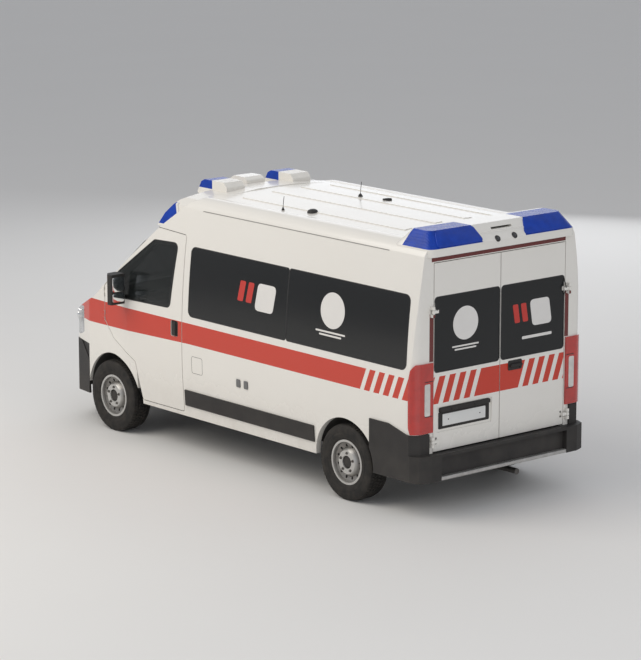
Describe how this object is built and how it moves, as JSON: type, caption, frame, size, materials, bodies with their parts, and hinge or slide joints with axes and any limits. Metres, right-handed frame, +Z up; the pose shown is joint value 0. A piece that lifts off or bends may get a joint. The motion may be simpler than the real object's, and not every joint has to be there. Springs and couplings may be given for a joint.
{
  "type": "high-roof panel van ambulance",
  "caption": "High-roof ambulance van with hinged cab doors, twin rear doors, bonnet, steering front axle, rolling wheels and roof beacons.",
  "frame": {"origin": "on the ground, in the middle of the overall length and width", "axes": "+Z up, +Y to the rear along the length, +X to the vehicle's left side"},
  "size_m": [2.472, 5.412, 2.545],
  "materials": {
    "beacon_blue": "gloss",
    "black_plastic": "grained",
    "body_white": "gloss",
    "cabinet_white": "satin",
    "cast_metal": "rough",
    "clear_glass": "gloss",
    "dark_glass": "gloss",
    "interior_plastic": "satin",
    "lamp_clear": "gloss",
    "lamp_red": "gloss",
    "seat_fabric": "woven",
    "steel_silver": "satin",
    "tyre_rubber": "matt",
    "underbody": "satin",
    "vinyl": "satin"
  },
  "bodies": {
    "root": {"attendant_seat": "vinyl", "beacon_lenses": "beacon_blue", "bulkhead": "interior_plastic", "cab_frame": "body_white", "cab_seats": "seat_fabric", "chassis_rails": "underbody", "dashboard": "interior_plastic", "engine_block": "cast_metal", "exhaust": "steel_silver", "firewall": "underbody", "floor_pan": "underbody", "front_bumper": "black_plastic", "front_subframe": "cast_metal", "front_wings": "body_white", "fuel_tank": "black_plastic", "grille": "black_plastic", "headlamps": "lamp_clear", "leaf_springs": "cast_metal", "light_fairings": "body_white", "patient_cabinets": "cabinet_white", "radiator": "cast_metal", "rear_axle": "cast_metal", "rear_bumper": "black_plastic", "rear_step": "steel_silver", "roof_panel": "body_white", "side_glass": "dark_glass", "side_mouldings": "black_plastic", "side_panel_left": "body_white", "side_panel_right": "body_white", "sliding_door": "body_white", "stretcher_table": "cabinet_white", "tail_lamps": "lamp_red", "wheel_housings": "underbody", "windscreen": "clear_glass"},
    "cab_door_left_body": {"cab_door_left": "body_white", "cab_door_glass_left": "clear_glass", "mirror_left": "black_plastic"},
    "cab_door_right_body": {"cab_door_right": "body_white", "cab_door_glass_right": "clear_glass", "mirror_right": "black_plastic"},
    "rear_door_left_body": {"rear_door_left": "body_white", "rear_door_glass_left": "dark_glass"},
    "rear_door_right_body": {"rear_door_right": "body_white", "rear_door_glass_right": "dark_glass"},
    "bonnet_body": {"bonnet": "body_white"},
    "knuckle_left_body": {"knuckle_left": "cast_metal"},
    "knuckle_right_body": {"knuckle_right": "cast_metal"},
    "steering_wheel_body": {"steering_wheel": "interior_plastic"},
    "front_left_wheel_body": {"tyre_front_left": "tyre_rubber", "wheel_front_left": "steel_silver"},
    "front_right_wheel_body": {"tyre_front_right": "tyre_rubber", "wheel_front_right": "steel_silver"},
    "rear_left_wheel_body": {"tyre_rear_left": "tyre_rubber", "wheel_rear_left": "steel_silver"},
    "rear_right_wheel_body": {"tyre_rear_right": "tyre_rubber", "wheel_rear_right": "steel_silver"}
  },
  "joints": [
    {"name": "cab_door_left_hinge", "type": "hinge", "parent": "root", "child": "cab_door_left_body", "pos_m": [1, -1.8895, 1.2], "axis": [0, 0, -1], "range_deg": [0, 68]},
    {"name": "cab_door_right_hinge", "type": "hinge", "parent": "root", "child": "cab_door_right_body", "pos_m": [-1, -1.8895, 1.2], "axis": [0, 0, 1], "range_deg": [0, 68]},
    {"name": "rear_door_left_hinge", "type": "hinge", "parent": "root", "child": "rear_door_left_body", "pos_m": [0.83, 2.6515, 1.4], "axis": [0, 0, -1], "range_deg": [0, 180]},
    {"name": "rear_door_right_hinge", "type": "hinge", "parent": "root", "child": "rear_door_right_body", "pos_m": [-0.83, 2.6515, 1.4], "axis": [0, 0, 1], "range_deg": [0, 180]},
    {"name": "bonnet_hinge", "type": "hinge", "parent": "root", "child": "bonnet_body", "pos_m": [0, -2.1885, 1.281], "axis": [-1, 0, 0], "range_deg": [0, 55]},
    {"name": "steer_left", "type": "hinge", "parent": "root", "child": "knuckle_left_body", "pos_m": [0.866, -1.7585, 0.215], "axis": [-0.2672, 0, 0.9636], "range_deg": [-33, 33]},
    {"name": "steer_right", "type": "hinge", "parent": "root", "child": "knuckle_right_body", "pos_m": [-0.866, -1.7585, 0.215], "axis": [0.2672, 0, 0.9636], "range_deg": [-33, 33]},
    {"name": "steering_wheel_turn", "type": "hinge", "parent": "root", "child": "steering_wheel_body", "pos_m": [0.4, -1.3585, 1.24], "axis": [0, 0.7071, 0.7071], "range_deg": [-500, 500]},
    {"name": "front_left_wheel_spin", "type": "hinge", "parent": "knuckle_left_body", "child": "front_left_wheel_body", "pos_m": [0.905, -1.7585, 0.352], "axis": [1, 0, 0], "continuous": true},
    {"name": "front_right_wheel_spin", "type": "hinge", "parent": "knuckle_right_body", "child": "front_right_wheel_body", "pos_m": [-0.905, -1.7585, 0.352], "axis": [1, 0, 0], "continuous": true},
    {"name": "rear_left_wheel_spin", "type": "hinge", "parent": "root", "child": "rear_left_wheel_body", "pos_m": [0.895, 1.6915, 0.352], "axis": [1, 0, 0], "continuous": true},
    {"name": "rear_right_wheel_spin", "type": "hinge", "parent": "root", "child": "rear_right_wheel_body", "pos_m": [-0.895, 1.6915, 0.352], "axis": [1, 0, 0], "continuous": true}
  ],
  "couplings": [
    {"joint": "steer_right", "follows": "steer_left", "ratio": 1},
    {"joint": "steering_wheel_turn", "follows": "steer_left", "ratio": 15}
  ]
}
